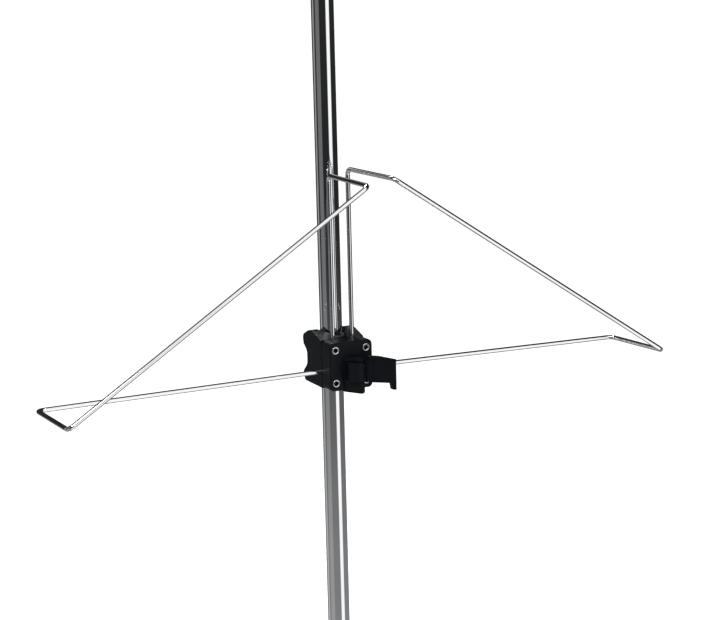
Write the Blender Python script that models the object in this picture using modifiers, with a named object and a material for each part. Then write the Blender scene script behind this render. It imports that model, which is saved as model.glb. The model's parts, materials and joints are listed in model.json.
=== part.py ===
"""A free-standing column with a quick-release clamp that carries two bent-wire side frames.

Metres, +Z up. The origin is on the floor, under the column's axis. -Y is the front, where the
clamp's cover, its four screws and its cam lever are. Every piece is modelled where it stands,
then hung on the empty that marks its joint.
"""

import math

import bmesh
import bpy
from mathutils import Matrix, Vector

MM = 0.001
GAP = 0.3 * MM                      # between pieces that touch

# Column
TUBE_R = 12.5 * MM                  # the chromed tube that the clamp rides on
TUBE_WALL = 1.2 * MM
TUBE_BOTTOM = 330 * MM
TUBE_TOP = 1440 * MM
LOWER_R = 15.0 * MM
LOWER_WALL = 1.5 * MM
LOWER_BOTTOM = 70 * MM
LOWER_TOP = 640 * MM
CLUTCH_BOTTOM = 600 * MM
CLUTCH_TOP = 680 * MM
CLUTCH_R = 21 * MM
KNOB_Z = 657 * MM
KNOB_R = 17 * MM
KNOB_START = 33.5 * MM
KNOB_LENGTH = 17 * MM
STUD_R = 4 * MM

# Clamp, in heights and depths from the clamp's centre on the column's axis
CLAMP_Z = 1000 * MM
HALF_WIDTH = 26 * MM
SLEEVE_R = 14.0 * MM
SLEEVE_FLANGE_R = 16.4 * MM
PARTING_Y = -29.3 * MM              # the face between cover and body, on the wires' centres
COVER_Y = -51.2 * MM
BLOCK_LOW = -27.3 * MM
EAR_LOW = -28.6 * MM
COVER_HIGH = 27.0 * MM
SCREW_PITCH = 36.9 * MM
SCREW_R = 2.5 * MM
SCREW_HEAD_R = 4.25 * MM
SCREW_HEAD = 5 * MM
SCREW_END_Y = 17.5 * MM
NUT_Y = 12.5 * MM
NUT_THICKNESS = 4 * MM
NUT_R = 4.6 * MM                    # across the corners, halved

# Cam lever and what it presses
PIN = Vector((2 * MM, -62 * MM, 0))
PIN_R = 2.5 * MM
CAM_R = 12.6 * MM                   # locked, towards the pressure pad
CAM_DROP = 1.5 * MM / (math.pi / 2)  # radius lost per radian as the lever opens
CAM_LOW = -15.2 * MM
CAM_HIGH = 6.0 * MM
PAD_R = 4.5 * MM
PAD_Z = 1.0 * MM

# Wire frames
WIRE_R = 2.6 * MM
WIRE_X = 11.6 * MM                  # the upright rods
WIRE_TOP_X = 14.9 * MM
WIRE_FRONT_Y = -136.65 * MM
WIRE_REACH = 351.5 * MM
WIRE_LOW = -8.0 * MM
WIRE_SAG = 3.3 * MM                 # the rear rod's outer end hangs this much lower
WIRE_TOP_LEFT = 208.9 * MM
WIRE_TOP_RIGHT = 214.4 * MM

# Base
HUB_R = 27 * MM
HUB_BOTTOM = 48 * MM
HUB_TOP = 118 * MM
LEG_R = 8 * MM
LEG_WALL = 1.5 * MM
LEG_PIVOT = Vector((42 * MM, 0, 80 * MM))
FOOT_X = 318 * MM                   # where the leg's axis is at FOOT_Z
FOOT_Z = 14 * MM
LEG_ANGLE = math.atan2(LEG_PIVOT.z - FOOT_Z, FOOT_X - LEG_PIVOT.x)
CHEEK_GAP = 8.3 * MM                # half the clevis's inner width
CHEEK = 4 * MM
AZIMUTHS = (0, 120, 240)

ROUND = 24                          # sides of a turned piece
SMALL_ROUND = 12


# Scene and object helpers

def clear_scene():
    for item in list(bpy.data.objects):
        bpy.data.objects.remove(item, do_unlink=True)


def collection(name):
    found = bpy.data.collections.new(name)
    bpy.context.scene.collection.children.link(found)
    return found


def material(name, colour, metallic, roughness):
    made = bpy.data.materials.new(name)
    made.use_nodes = True
    shader = made.node_tree.nodes["Principled BSDF"]
    shader.inputs["Base Color"].default_value = (*colour, 1)
    shader.inputs["Metallic"].default_value = metallic
    shader.inputs["Roughness"].default_value = roughness
    return made


clear_scene()
PARTS = collection("wire_frame_stand")
CUTTERS = collection("cutters")
CHROME = material("chrome", (0.80, 0.80, 0.82), 1.0, 0.08)
BLACK = material("black_plastic", (0.02, 0.021, 0.024), 0.0, 0.38)
NYLON = material("nylon", (0.045, 0.045, 0.05), 0.0, 0.5)
CAST = material("cast_hub", (0.03, 0.03, 0.033), 0.2, 0.45)
STEEL = material("zinc_steel", (0.62, 0.63, 0.65), 1.0, 0.25)
RUBBER = material("rubber", (0.015, 0.015, 0.015), 0.0, 0.8)


def pivot(name, location, turn=0.0):
    """An empty on a joint's axis, turned about Z."""
    empty = bpy.data.objects.new(name, None)
    PARTS.objects.link(empty)
    empty.location = location
    empty.rotation_euler.z = turn
    return empty


def add(name, mesh, finish, home=None):
    made = bpy.data.objects.new(name, mesh)
    (home or PARTS).objects.link(made)
    if finish:
        mesh.materials.clear()
        mesh.materials.append(finish)
    return made


def hang(piece, empty):
    """Puts a piece's origin on its joint's empty; the piece itself stays where it was built."""
    piece.data.transform(Matrix.Translation(-empty.location))
    piece.parent = empty


def tool(made):
    """Marks an object as a cutter or an operand, which isn't a piece."""
    for home in list(made.users_collection):
        home.objects.unlink(made)
    CUTTERS.objects.link(made)
    made.hide_render = True
    made.display_type = "WIRE"
    return made


def boolean(target, other, operation):
    change = target.modifiers.new(operation.lower(), "BOOLEAN")
    change.operation = operation
    change.solver = "EXACT"
    change.object = tool(other)


def cut(target, *others):
    for other in others:
        boolean(target, other, "DIFFERENCE")


def unite(target, *others):
    for other in others:
        boolean(target, other, "UNION")


def freeze(made, shift=None):
    """The evaluated shape as a plain mesh; the object it came from is removed."""
    bpy.context.view_layer.update()
    graph = bpy.context.evaluated_depsgraph_get()
    mesh = bpy.data.meshes.new_from_object(made.evaluated_get(graph))
    mesh.transform(made.matrix_world)
    if shift:
        mesh.transform(Matrix.Translation(shift))
    bpy.data.objects.remove(made, do_unlink=True)
    return mesh


def smooth(mesh, degrees=35):
    mesh.shade_smooth()
    mesh.set_sharp_from_angle(angle=math.radians(degrees))


# Shape helpers

def arc_between(before, corner, after, radius, steps):
    """Points of a fillet at a corner, for 2D or 3D vectors."""
    back = (before - corner).normalized()
    ahead = (after - corner).normalized()
    half = back.angle(ahead) / 2
    reach = radius / math.tan(half)
    centre = corner + (back + ahead).normalized() * radius / math.sin(half)
    start = corner + back * reach - centre
    end = corner + ahead * reach - centre
    sweep = start.angle(end)
    points = []
    for step in range(steps + 1):
        share = step / steps
        weight = math.sin((1 - share) * sweep), math.sin(share * sweep)
        points.append(centre + (start * weight[0] + end * weight[1]) / math.sin(sweep))
    return points


def rounded_outline(corners, steps=4):
    """A closed outline from (u, v, fillet radius) corners in millimetres."""
    flat = [Vector((u, v, 0)) * MM for u, v, _ in corners]
    points = []
    for index, (_, _, radius) in enumerate(corners):
        before = flat[index - 1]
        after = flat[(index + 1) % len(flat)]
        if radius:
            points += arc_between(before, flat[index], after, radius * MM, steps)
        else:
            points.append(flat[index])
    return points


def rounded_path(corners, radius, steps=4):
    """An open path through 3D corners, each inner corner a fillet of one bend radius."""
    points = [corners[0]]
    for before, corner, after in zip(corners, corners[1:], corners[2:]):
        points += arc_between(before, corner, after, radius, steps)
    return points + [corners[-1]]


PLAN = Matrix.Identity(4)                                   # outline (x, y), thick along Z
FRONT = Matrix.Rotation(math.pi / 2, 4, "X")                # outline (x, z), thick along Y
SIDE = Matrix(((0, 0, 1, 0), (1, 0, 0, 0), (0, 1, 0, 0), (0, 0, 0, 1)))  # (y, z), thick along X


def plate(name, outline, low, high, facing, finish=None, bevel=0.0):
    """A flat outline extruded from low to high along the third axis, as a welded mesh."""
    curve = bpy.data.curves.new(name, "CURVE")
    curve.dimensions = "2D"
    curve.fill_mode = "BOTH"
    curve.extrude = (high - low) / 2
    line = curve.splines.new("POLY")
    line.points.add(len(outline) - 1)
    for point, place in zip(line.points, outline):
        point.co = (place.x, place.y, 0, 1)
    line.use_cyclic_u = True
    drawn = bpy.data.objects.new(name, curve)
    PARTS.objects.link(drawn)
    mesh = freeze(drawn)
    bpy.data.curves.remove(curve)
    shape = bmesh.new()
    shape.from_mesh(mesh)
    bmesh.ops.remove_doubles(shape, verts=shape.verts, dist=1e-6)
    bmesh.ops.recalc_face_normals(shape, faces=shape.faces)
    shape.to_mesh(mesh)
    shape.free()
    middle = (low + high) / 2
    third = facing.to_3x3() @ Vector((0, 0, 1))
    mesh.transform(Matrix.Translation(third * middle * (-1 if facing == FRONT else 1)) @ facing)
    made = add(name, mesh, finish)
    if bevel:
        edge = made.modifiers.new("edges", "BEVEL")
        edge.width = bevel
        edge.segments = 2
        edge.limit_method = "ANGLE"
        edge.angle_limit = math.radians(50)
    return made


def turned(name, profile, finish, axis="Z", at=(0, 0, 0), steps=ROUND, closed=False):
    """A profile of (radius, height) in metres, from top to bottom down its outer side."""
    mesh = bpy.data.meshes.new(name)
    ends = [(i, i + 1) for i in range(len(profile) - 1)]
    if closed:
        ends.append((len(profile) - 1, 0))
    mesh.from_pydata([(radius, 0, height) for radius, height in profile], ends, [])
    made = add(name, mesh, finish)
    spin = made.modifiers.new("turn", "SCREW")
    spin.steps = steps
    spin.render_steps = steps
    spin.use_merge_vertices = True
    spin.merge_threshold = 0.00001
    spin.use_smooth_shade = True
    direction = {"X": Vector((1, 0, 0)), "Y": Vector((0, 1, 0)), "Z": Vector((0, 0, 1))}[axis]
    shape = freeze(made)
    turn = Vector((0, 0, 1)).rotation_difference(direction).to_matrix().to_4x4()
    shape.transform(Matrix.Translation(at) @ turn)
    smooth(shape)
    return add(name, shape, finish)


def ring(name, outer, inner, low, high, finish):
    profile = [(outer, high), (outer, low), (inner, low), (inner, high)]
    return turned(name, profile, finish, closed=True)


def rod(name, radius, start, end, finish=None, sides=SMALL_ROUND):
    """A straight cylinder, or a prism of a few sides, between two points."""
    start = Vector(start)
    end = Vector(end)
    shape = bmesh.new()
    turn = (end - start).to_track_quat("Z", "Y").to_matrix().to_4x4()
    frame = Matrix.Translation((start + end) / 2) @ turn
    bmesh.ops.create_cone(shape, cap_ends=True, segments=sides, radius1=radius, radius2=radius,
                          depth=(end - start).length, matrix=frame)
    mesh = bpy.data.meshes.new(name)
    shape.to_mesh(mesh)
    shape.free()
    return add(name, mesh, finish)


def block(name, low, high, finish=None):
    low = Vector(low)
    high = Vector(high)
    shape = bmesh.new()
    bmesh.ops.create_cube(shape, size=1)
    mesh = bpy.data.meshes.new(name)
    shape.to_mesh(mesh)
    shape.free()
    mesh.transform(Matrix.Translation((low + high) / 2) @ Matrix.Diagonal((*(high - low), 1)))
    return add(name, mesh, finish)


def wire(name, points, radius, finish):
    curve = bpy.data.curves.new(name, "CURVE")
    curve.dimensions = "3D"
    curve.bevel_depth = radius
    curve.bevel_resolution = 4
    curve.use_fill_caps = True
    line = curve.splines.new("POLY")
    line.points.add(len(points) - 1)
    for point, place in zip(line.points, points):
        point.co = (*place, 1)
    drawn = bpy.data.objects.new(name, curve)
    PARTS.objects.link(drawn)
    mesh = freeze(drawn)
    bpy.data.curves.remove(curve)
    shape = bmesh.new()
    shape.from_mesh(mesh)
    bmesh.ops.remove_doubles(shape, verts=shape.verts, dist=1e-6)
    bmesh.ops.recalc_face_normals(shape, faces=shape.faces)
    shape.to_mesh(mesh)
    shape.free()
    smooth(mesh, 50)
    return add(name, mesh, finish)


def at_clamp(x, y, z):
    """A point given in millimetres from the clamp's centre."""
    return Vector((x * MM, y * MM, z * MM + CLAMP_Z))


# Column and base

def make_column(root, column):
    hang(ring("lower_tube", LOWER_R, LOWER_R - LOWER_WALL, LOWER_BOTTOM, LOWER_TOP, CHROME), root)
    hang(ring("upper_tube", TUBE_R, TUBE_R - TUBE_WALL, TUBE_BOTTOM, TUBE_TOP, CHROME), column)
    bore = TUBE_R - TUBE_WALL - GAP
    cap_low = TUBE_TOP + GAP
    cap = [(0, cap_low + 10 * MM), (9 * MM, cap_low + 10 * MM), (12 * MM, cap_low + 8.5 * MM),
           (13.5 * MM, cap_low + 5 * MM), (13.5 * MM, cap_low), (bore, cap_low),
           (bore, cap_low - 14 * MM), (bore - 1 * MM, cap_low - 15 * MM), (0, cap_low - 15 * MM)]
    hang(turned("top_cap", cap, BLACK), column)
    foot_high = TUBE_BOTTOM - GAP
    guide = LOWER_R - LOWER_WALL - GAP
    foot = [(0, foot_high + 15 * MM), (bore - 1 * MM, foot_high + 15 * MM),
            (bore, foot_high + 14 * MM), (bore, foot_high), (guide, foot_high),
            (guide, foot_high - 8 * MM), (guide - 1 * MM, foot_high - 9 * MM),
            (0, foot_high - 9 * MM)]
    hang(turned("tube_foot_bush", foot, NYLON), column)


def make_clutch(root, knob):
    bush_bore = TUBE_R + GAP
    bush_outer = bush_bore + 1 * MM
    seat = bush_outer + GAP
    step = LOWER_TOP + 2 * GAP
    lip = CLUTCH_TOP - 4 * MM
    collar = [(bush_bore, CLUTCH_TOP), (19 * MM, CLUTCH_TOP), (CLUTCH_R, CLUTCH_TOP - 4 * MM),
              (CLUTCH_R, CLUTCH_BOTTOM + 6 * MM), (18 * MM, CLUTCH_BOTTOM),
              (LOWER_R + GAP, CLUTCH_BOTTOM), (LOWER_R + GAP, step), (seat, step), (seat, lip),
              (bush_bore, lip)]
    shell = turned("clutch_collar", collar, BLACK, closed=True)
    boss = rod("knob_boss", 9 * MM, (16 * MM, 0, KNOB_Z), (KNOB_START - 1 * MM, 0, KNOB_Z), sides=24)
    unite(shell, boss)
    cut(shell, rod("stud_hole", STUD_R + GAP, (5 * MM, 0, KNOB_Z), (60 * MM, 0, KNOB_Z)))
    hang(shell, root)
    hang(ring("clutch_bush", bush_outer, bush_bore, step + GAP, lip - GAP, NYLON), root)
    stud_end = KNOB_START + 10 * MM
    hang(rod("clutch_stud", STUD_R, (bush_outer + GAP, 0, KNOB_Z), (stud_end, 0, KNOB_Z), STEEL), knob)
    grip_end = KNOB_START + KNOB_LENGTH
    grip = [(0, KNOB_LENGTH), (KNOB_R - 3 * MM, KNOB_LENGTH), (KNOB_R, KNOB_LENGTH - 3 * MM),
            (KNOB_R, 6 * MM), (KNOB_R - 2 * MM, 4.5 * MM), (8.5 * MM, 3 * MM), (8.5 * MM, 0), (0, 0)]
    head = turned("clutch_knob", grip, BLACK, axis="X", at=(KNOB_START, 0, KNOB_Z), steps=36)
    for lobe in range(6):
        turn = math.radians(60 * lobe)
        hollow = Vector((0, math.cos(turn), math.sin(turn))) * (KNOB_R + 4.5 * MM)
        start = hollow + Vector((KNOB_START + 4 * MM, 0, KNOB_Z))
        end = hollow + Vector((grip_end + 1 * MM, 0, KNOB_Z))
        cut(head, rod("knob_hollow", 7 * MM, start, end, sides=20))
    cut(head, rod("stud_socket", STUD_R + GAP, (KNOB_START - 1 * MM, 0, KNOB_Z), (stud_end + GAP, 0, KNOB_Z)))
    hang(head, knob)


def make_hub(root):
    bore = LOWER_R + GAP
    floor = LOWER_BOTTOM - GAP
    profile = [(bore, HUB_TOP), (bore + 3 * MM, HUB_TOP), (bore + 4.5 * MM, HUB_TOP - 3 * MM),
               (HUB_R - 4 * MM, HUB_TOP - 14 * MM), (HUB_R, HUB_TOP - 20 * MM),
               (HUB_R, HUB_BOTTOM + 3 * MM), (HUB_R - 3 * MM, HUB_BOTTOM), (STUD_R + GAP, HUB_BOTTOM),
               (STUD_R + GAP, floor), (bore, floor)]
    hub = turned("base_hub", profile, CAST, closed=True)
    nose = LEG_PIVOT.x / MM
    height = LEG_PIVOT.z / MM
    cheek = rounded_outline([(20, height - 22, 0), (nose - 2, height - 14, 8), (nose + 12, height - 4, 8),
                             (nose + 9, height + 17, 3), (nose - 8, height + 20, 6), (20, height + 18, 0)])
    for azimuth in AZIMUTHS:
        turn = Matrix.Rotation(math.radians(azimuth), 4, "Z")
        for side in (-1, 1):
            inner = side * CHEEK_GAP
            outer = side * (CHEEK_GAP + CHEEK)
            ear = plate("cheek", cheek, min(inner, outer), max(inner, outer), FRONT)
            ear.data.transform(turn)
            unite(hub, ear)
        stop_low = LEG_PIVOT.z + LEG_R + 0.8 * MM
        stop = block("stop_web", (LEG_PIVOT.x + 2 * MM, -CHEEK_GAP - 1 * MM, stop_low),
                     (LEG_PIVOT.x + 8 * MM, CHEEK_GAP + 1 * MM, stop_low + 5 * MM))
        stop.data.transform(turn)
        unite(hub, stop)
        hole = rod("pivot_hole", 3 * MM + GAP, (LEG_PIVOT.x, -20 * MM, LEG_PIVOT.z),
                   (LEG_PIVOT.x, 20 * MM, LEG_PIVOT.z))
        hole.data.transform(turn)
        cut(hub, hole)
    hang(hub, root)
    plug_r = LOWER_R - LOWER_WALL - GAP
    plug = [(0, 98 * MM), (plug_r - 1 * MM, 98 * MM), (plug_r, 97 * MM), (plug_r, LOWER_BOTTOM),
            (STUD_R + GAP, LOWER_BOTTOM), (STUD_R + GAP, 92 * MM), (0, 92 * MM)]
    hang(turned("tube_plug", plug, STEEL), root)
    bolt = rod("column_bolt", 6.5 * MM, (0, 0, HUB_BOTTOM - 6 * MM), (0, 0, HUB_BOTTOM - GAP), STEEL, sides=6)
    unite(bolt, rod("bolt_shank", STUD_R, (0, 0, HUB_BOTTOM - 3 * MM), (0, 0, 90 * MM)))
    hang(bolt, root)


def leg_meshes():
    """The leg's pieces, modelled along +X and moved so that the hinge is their origin."""
    along = Vector((math.cos(LEG_ANGLE), 0, -math.sin(LEG_ANGLE)))
    to_hinge = -LEG_PIVOT
    length = (FOOT_X - LEG_PIVOT.x) / along.x
    start = LEG_PIVOT + along * 13 * MM
    end = LEG_PIVOT + along * (length + 8 * MM)
    tube = rod("leg_tube", LEG_R, start, end, CHROME, sides=24)
    cut(tube, rod("leg_bore", LEG_R - LEG_WALL, start - along * 5 * MM, end + along * 5 * MM, sides=24))
    tube_mesh = freeze(tube, to_hinge)
    smooth(tube_mesh)

    across = Vector((0, 1, 0))
    knuckle = rod("leg_knuckle", LEG_R, LEG_PIVOT - across * 8 * MM, LEG_PIVOT + across * 8 * MM, CAST,
                  sides=24)
    unite(knuckle, rod("knuckle_neck", LEG_R - 0.4 * MM, LEG_PIVOT, start - along * GAP, sides=24),
          rod("knuckle_spigot", LEG_R - LEG_WALL - GAP, LEG_PIVOT, start + along * 18 * MM, sides=24))
    cut(knuckle, rod("knuckle_hole", 3 * MM + GAP, LEG_PIVOT - across * 20 * MM,
                     LEG_PIVOT + across * 20 * MM))
    knuckle_mesh = freeze(knuckle, to_hinge)
    smooth(knuckle_mesh)

    toe = FOOT_X / MM
    outline = rounded_outline([(toe - 24, 0, 3), (toe + 20, 0, 3), (toe + 19, 21, 10), (toe + 4, 25, 8),
                               (toe - 32, 33.5, 3), (toe - 36, 12, 6)], steps=2)
    foot = plate("foot", outline, -11.5 * MM, 11.5 * MM, FRONT, RUBBER, bevel=3 * MM)
    cut(foot, rod("foot_bore", LEG_R + GAP, LEG_PIVOT + along * 200 * MM, end + along * GAP, sides=24))
    foot_mesh = freeze(foot, to_hinge)
    smooth(foot_mesh)

    face = CHEEK_GAP + CHEEK + GAP
    rivet = [(0, face + 2.6 * MM), (2.6 * MM, face + 2.3 * MM), (5 * MM, face + 0.8 * MM), (5 * MM, face),
             (3 * MM, face), (3 * MM, -face), (5 * MM, -face), (5 * MM, -face - 0.8 * MM),
             (2.6 * MM, -face - 2.3 * MM), (0, -face - 2.6 * MM)]
    rivet_mesh = freeze(turned("leg_pivot", rivet, STEEL, axis="Y", steps=SMALL_ROUND))
    smooth(rivet_mesh)
    return tube_mesh, knuckle_mesh, foot_mesh, rivet_mesh


def make_legs(root):
    meshes = leg_meshes()
    finishes = CHROME, CAST, RUBBER, STEEL
    for number, azimuth in enumerate(AZIMUTHS, 1):
        turn = math.radians(azimuth)
        hinge = pivot(f"leg_hinge_{number}", Matrix.Rotation(turn, 3, "Z") @ LEG_PIVOT, turn)
        hinge.parent = root
        for name, mesh, finish in zip(("leg_tube", "leg_knuckle", "foot", "leg_pivot"), meshes, finishes):
            add(f"{name}_{number}", mesh, finish).parent = hinge


# Clamp

def make_sleeve(sleeve):
    bore = TUBE_R + GAP
    top = CLAMP_Z + 26 * MM
    low = CLAMP_Z + BLOCK_LOW - GAP
    profile = [(bore, top), (SLEEVE_FLANGE_R - 0.6 * MM, top), (SLEEVE_FLANGE_R, top - 0.6 * MM),
               (SLEEVE_FLANGE_R, top - 1.8 * MM), (SLEEVE_R, top - 1.8 * MM), (SLEEVE_R, low),
               (SLEEVE_FLANGE_R, low), (SLEEVE_FLANGE_R, low - 2.4 * MM),
               (SLEEVE_FLANGE_R - 0.6 * MM, low - 3 * MM), (bore, low - 3 * MM)]
    hang(turned("sleeve_liner", profile, NYLON, closed=True), sleeve)


def wire_path(side):
    top = WIRE_TOP_LEFT if side < 0 else WIRE_TOP_RIGHT
    top /= MM
    rear = PARTING_Y / MM
    front = WIRE_FRONT_Y / MM
    reach = side * WIRE_REACH / MM
    low = WIRE_LOW / MM
    corners = [at_clamp(side * WIRE_X / MM, rear, 3), at_clamp(side * WIRE_X / MM, rear, top),
               at_clamp(side * WIRE_TOP_X / MM, front, top), at_clamp(reach, front, low),
               at_clamp(reach, rear, low - WIRE_SAG / MM), at_clamp(side * 9, rear, low)]
    return rounded_path(corners, 7 * MM, steps=5)


def wire_grooves():
    """Cutters along the stretches of wire that lie inside the block."""
    cutters = []
    for side in (-1, 1):
        points = wire_path(side)
        for inner, outer in ((points[0], points[1]), (points[-1], points[-2])):
            away = (outer - inner).normalized()
            cutters.append(rod("wire_groove", WIRE_R + GAP, inner - away * GAP, inner + away * 40 * MM))
    return cutters


def screw_places():
    half = SCREW_PITCH / 2
    return [Vector((x, 0, CLAMP_Z + z)) for z in (half, -half) for x in (-half, half)]


def screw_holes(radius, low, high, sides=SMALL_ROUND):
    return [rod("screw_hole", radius, place + Vector((0, low, 0)), place + Vector((0, high, 0)), sides=sides)
            for place in screw_places()]


def pad_channel():
    x = PIN.x / MM
    z = PAD_Z / MM
    return rod("pad_channel", PAD_R + GAP, at_clamp(x, -50, z), at_clamp(x, 0, z), sides=24)


def make_body(clamp):
    low = BLOCK_LOW / MM
    parting = (PARTING_Y + GAP / 2) / MM
    outline = rounded_outline([(parting, low, 0.8), (17.4, low + 0.4, 5), (22.0, -17.0, 4),
                               (10.2, -6.5, 8), (10.2, 8.0, 7), (19.2, 15.0, 2.5), (21.2, 25.4, 6),
                               (0, 35.2, 26), (parting, 26.8, 0.8)])
    body = plate("clamp_body", outline, -HALF_WIDTH, HALF_WIDTH, SIDE, BLACK, bevel=1.6 * MM)
    body.data.transform(Matrix.Translation((0, 0, CLAMP_Z)))
    cut(body, rod("column_bore", SLEEVE_R + 0.4 * MM, at_clamp(0, 0, -40), at_clamp(0, 0, 40), sides=ROUND),
        rod("flange_seat", SLEEVE_FLANGE_R + 0.4 * MM, at_clamp(0, 0, 23.9), at_clamp(0, 0, 40), sides=ROUND),
        block("valley", at_clamp(-9, -35, 24.6), at_clamp(9, -8, 40)), pad_channel())
    cut(body, *wire_grooves())
    cut(body, *screw_holes(SCREW_R + GAP, -60 * MM, 40 * MM))
    cut(body, *screw_holes(NUT_R + GAP, NUT_Y - GAP, 40 * MM, sides=6))
    hang(body, clamp)


def make_cover(clamp):
    low = BLOCK_LOW / MM
    high = COVER_HIGH / MM
    half = HALF_WIDTH / MM
    outline = rounded_outline([(-half, low, 5.5), (half, low, 5.5), (half, high, 5.5), (-half, high, 5.5)])
    cover = plate("front_cover", outline, COVER_Y, PARTING_Y - GAP / 2, FRONT, BLACK, bevel=1.6 * MM)
    cover.data.transform(Matrix.Translation((0, 0, CLAMP_Z)))
    ear = rounded_outline([(-9.8, -46, 0), (-9.8, -52.5, 1.5), (2.8, -73, 2), (8.6, -67, 3), (9, -46, 0)])
    for start, end in ((EAR_LOW / MM, -15.5), (6.3, 10.5)):
        unite(cover, plate("ear", ear, CLAMP_Z + start * MM, CLAMP_Z + end * MM, PLAN))
    unite(cover, block("ear_wall", at_clamp(-9.8, -54.6, -20), at_clamp(-7.8, -48, 8)))
    pin_x = PIN.x / MM
    cut(cover, block("cam_pocket", at_clamp(pin_x - 8.6, -54, CAM_LOW / MM - 0.3),
                     at_clamp(pin_x + 8.6, -48.7, CAM_HIGH / MM + 0.3)))
    pin_y = PIN.y / MM
    cut(cover, rod("pin_hole", PIN_R + GAP, at_clamp(pin_x, pin_y, -40), at_clamp(pin_x, pin_y, 20)),
        pad_channel())
    cut(cover, *wire_grooves())
    cut(cover, *screw_holes(SCREW_R + GAP, -60 * MM, 0))
    cut(cover, *screw_holes(SCREW_HEAD_R + 0.5 * MM, -60 * MM, COVER_Y + SCREW_HEAD))
    hang(cover, clamp)


def make_fasteners(clamp):
    """Four long socket-head screws, from the cover to the nuts in the body's rear lobes."""
    front = COVER_Y - 0.2 * MM
    under = front + SCREW_HEAD
    length = SCREW_END_Y
    profile = [(0, length), (SCREW_R - 0.5 * MM, length), (SCREW_R, length - 0.5 * MM), (SCREW_R, under),
               (SCREW_HEAD_R, under), (SCREW_HEAD_R, front + 0.5 * MM), (SCREW_HEAD_R - 0.5 * MM, front),
               (0, front)]
    screw = turned("clamp_screw", profile, STEEL, axis="Y", steps=20)
    cut(screw, rod("hex_socket", 2.3 * MM, (0, front - 1 * MM, 0), (0, front + 2.6 * MM, 0), sides=6))
    screw_mesh = freeze(screw)
    smooth(screw_mesh)
    nut = rod("clamp_nut", NUT_R, (0, NUT_Y, 0), (0, NUT_Y + NUT_THICKNESS, 0), STEEL, sides=6)
    cut(nut, rod("thread", SCREW_R + GAP, (0, 0, 0), (0, 40 * MM, 0)))
    nut_mesh = freeze(nut)
    for number, place in enumerate(screw_places(), 1):
        for name, mesh in (("clamp_screw", screw_mesh), ("clamp_nut", nut_mesh)):
            piece = add(f"{name}_{number}", mesh, STEEL)
            piece.parent = clamp
            piece.location = place - clamp.location


def make_wires(clamp):
    for side, name in ((-1, "wire_frame_left"), (1, "wire_frame_right")):
        hang(wire(name, wire_path(side), WIRE_R, CHROME), clamp)


def cam_outline(points=48):
    """The cam about the pin: it loses radius evenly as it turns away from the pad, then closes."""
    spiral = math.radians(115)
    back = math.radians(300)
    low = CAM_R - CAM_DROP * spiral
    small = 10 * MM
    outline = []
    for index in range(points):
        turn = 2 * math.pi * index / points
        if turn <= spiral:
            radius = CAM_R - CAM_DROP * turn
        elif turn <= back:
            radius = low + (small - low) * (turn - spiral) / (back - spiral)
        else:
            radius = small + (CAM_R - small) * (turn - back) / (2 * math.pi - back)
        angle = math.pi / 2 + turn
        outline.append(PIN + Vector((math.cos(angle), math.sin(angle), 0)) * radius)
    return outline


def make_lever(clamp, lever, pad):
    low = CLAMP_Z + CAM_LOW
    high = CLAMP_Z + CAM_HIGH
    handle = plate("cam_lever", cam_outline(), low, high, PLAN, BLACK)
    flare = [(16.5, -68.3, 4), (31.1, -80.1, 30), (37.5, -85.1, 1.2), (40.2, -81.7, 1.2), (33.6, -76.4, 30),
             (19.2, -64.4, 4)]
    arm = rounded_outline([(5, -64.5, 0), *flare, (12.5, -59.5, 3), (5, -58, 0)])
    grip = rounded_outline([(13.3, -67.3, 0.6), *flare, (15.2, -61.8, 1)])
    tall = plate("grip", grip, CLAMP_Z - 26 * MM, CLAMP_Z + 12 * MM, PLAN)
    face = rounded_outline([(0, -18, 0), (33.6, -18, 2.5), (34.4, -25.5, 0.8), (45, -25.5, 0), (45, 7.0, 0),
                            (24, 11.4, 12), (0, 11.4, 0)])
    keep = plate("grip_face", face, -100 * MM, -50 * MM, FRONT)
    keep.data.transform(Matrix.Translation((0, 0, CLAMP_Z)))
    boolean(tall, keep, "INTERSECT")
    unite(handle, plate("arm", arm, low, high, PLAN), tall)
    pin_x = PIN.x / MM
    pin_y = PIN.y / MM
    cut(handle, rod("lever_bore", PIN_R + GAP, at_clamp(pin_x, pin_y, -40), at_clamp(pin_x, pin_y, 40)))
    hang(handle, lever)
    hang(rod("lever_pin", PIN_R, at_clamp(pin_x, pin_y, -26.2), at_clamp(pin_x, pin_y, 10.2), STEEL), clamp)
    face_y = pin_y + (CAM_R + GAP) / MM
    z = PAD_Z / MM
    plunger = rod("pressure_pad", PAD_R, at_clamp(pin_x, face_y, z), at_clamp(pin_x, -10, z), NYLON, sides=24)
    cut(plunger, rod("sleeve_hollow", SLEEVE_R + GAP, at_clamp(0, 0, -20), at_clamp(0, 0, 20), sides=ROUND))
    hang(plunger, pad)


def build():
    root = pivot("stand_origin", (0, 0, 0))
    column = pivot("column_slide", (0, 0, TUBE_BOTTOM))
    knob = pivot("clutch_knob_axis", (0, 0, KNOB_Z))
    sleeve = pivot("clamp_slide", (0, 0, CLAMP_Z))
    clamp = pivot("clamp_swivel", (0, 0, CLAMP_Z))
    lever = pivot("lever_axis", PIN + Vector((0, 0, CLAMP_Z)))
    pad = pivot("pad_slide", at_clamp(PIN.x / MM, -30, PAD_Z / MM))
    make_hub(root)
    make_legs(root)
    make_column(root, column)
    make_clutch(root, knob)
    make_sleeve(sleeve)
    make_body(clamp)
    make_cover(clamp)
    make_fasteners(clamp)
    make_wires(clamp)
    make_lever(clamp, lever, pad)
    bpy.context.view_layer.update()


build()
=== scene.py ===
"""Looks of the wire-frame stand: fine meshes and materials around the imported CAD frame, in metres."""

import json
import math

import bmesh
import bpy
from mathutils import Matrix, Vector


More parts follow.
